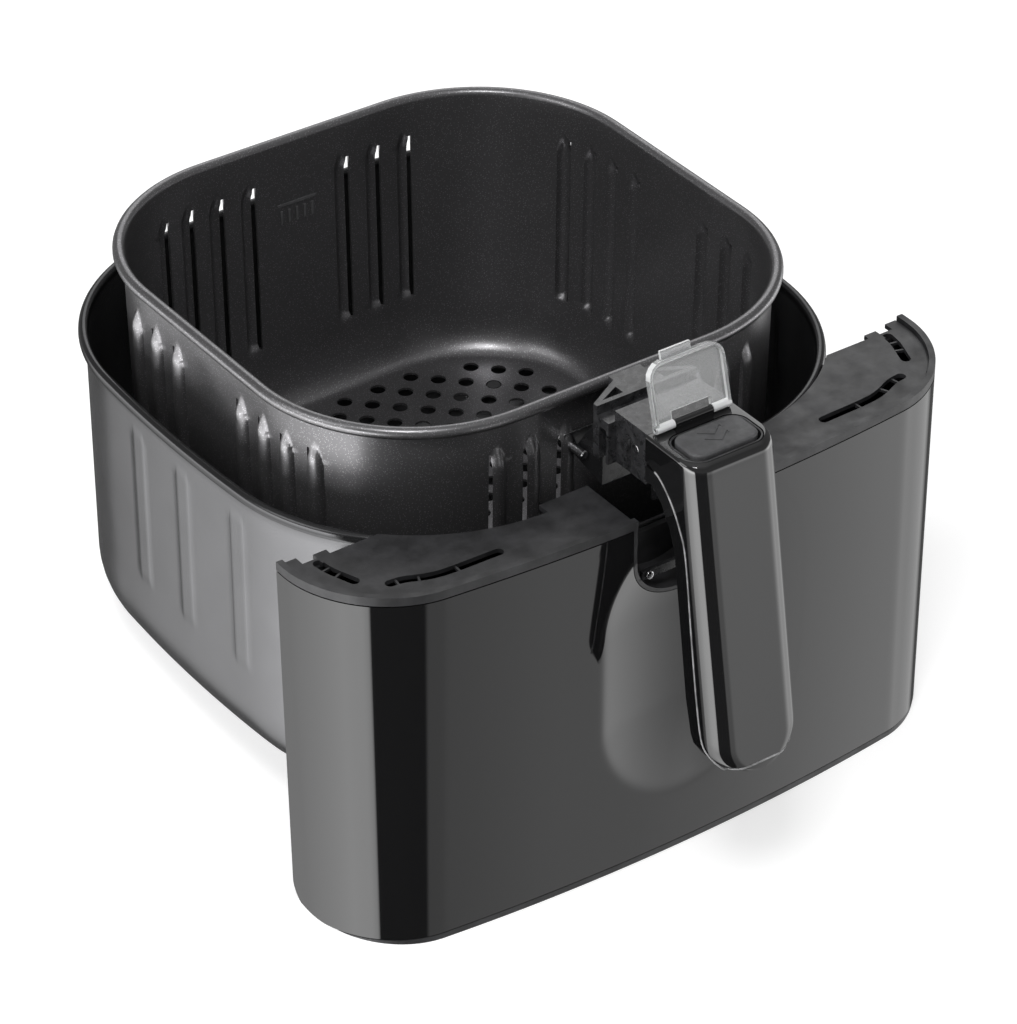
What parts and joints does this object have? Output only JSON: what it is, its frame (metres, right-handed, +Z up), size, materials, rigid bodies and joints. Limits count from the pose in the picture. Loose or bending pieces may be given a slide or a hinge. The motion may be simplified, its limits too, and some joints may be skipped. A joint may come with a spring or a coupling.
{
  "type": "air fryer drawer",
  "caption": "Rounded square pan behind a curved glossy front, with a perforated lift-out basket, a grip with a guarded release button, and a vented ledge.",
  "frame": {"origin": "centre of the pan's flat underside", "axes": "+Z up, +X to the right seen from the front, -Y towards the front and its grip"},
  "size_m": [0.2826, 0.3227, 0.2184],
  "materials": {
    "pan_coating": "smooth dark non-stick enamel, satin",
    "basket_coating": "charcoal non-stick coating with a fine metallic speckle",
    "gloss_black": "mirror-smooth black plastic",
    "matte_black": "dark satin plastic, faintly mottled",
    "button_grey": "dark grey matte plastic with a debossed mark",
    "clear_plastic": "clear polished plastic",
    "silicone": "soft matte silicone",
    "steel": "bright pressed steel"
  },
  "bodies": {
    "drawer": {"bottom_trim": "matte_black", "catch_bar": "steel", "catch_screw_left": "steel", "catch_screw_right": "steel", "front_frame": "matte_black", "front_ledge": "matte_black", "front_panel": "gloss_black", "pan": "pan_coating", "pan_screw_high_left": "steel", "pan_screw_high_right": "steel", "pan_screw_low_left": "steel", "pan_screw_low_right": "steel"},
    "basket": {"basket": "basket_coating", "bracket_rivet_left": "steel", "bracket_rivet_right": "steel", "button_bezel": "matte_black", "foot_back_left": "silicone", "foot_back_right": "silicone", "foot_front_left": "silicone", "foot_front_right": "silicone", "grip_screw_high": "steel", "grip_screw_low": "steel", "guard_pin": "steel", "handle_arm": "gloss_black", "handle_back": "gloss_black", "handle_bracket": "steel", "handle_cover": "gloss_black", "latch_pin": "steel", "neck_screw_left": "steel", "neck_screw_right": "steel"},
    "button": {"button": "button_grey", "button_spring": "steel"},
    "latch": {"latch": "steel"},
    "guard": {"button_guard": "clear_plastic"}
  },
  "joints": [
    {"name": "basket_lift", "type": "slide", "parent": "drawer", "child": "basket", "axis": [0, 0, 1], "range_m": [-0.034, 0.1]},
    {"name": "button_press", "type": "slide", "parent": "basket", "child": "button", "axis": [0, 0, -1], "range_m": [0, 0.003], "stiffness_N_per_m": 400, "springref_m": -0.001, "deforming": ["button_spring"]},
    {"name": "latch_swing", "type": "hinge", "parent": "basket", "child": "latch", "pos_m": [0, -0.1415, 0.1555], "axis": [1, 0, 0], "range_deg": [0, 8.5]},
    {"name": "guard_close", "type": "hinge", "parent": "basket", "child": "guard", "pos_m": [0, -0.1498, 0.167], "axis": [1, 0, 0], "range_deg": [0, 105]}
  ],
  "couplings": [
    {"joint": "latch_swing", "follows": "button_press", "rad_per_m": 48.8}
  ]
}
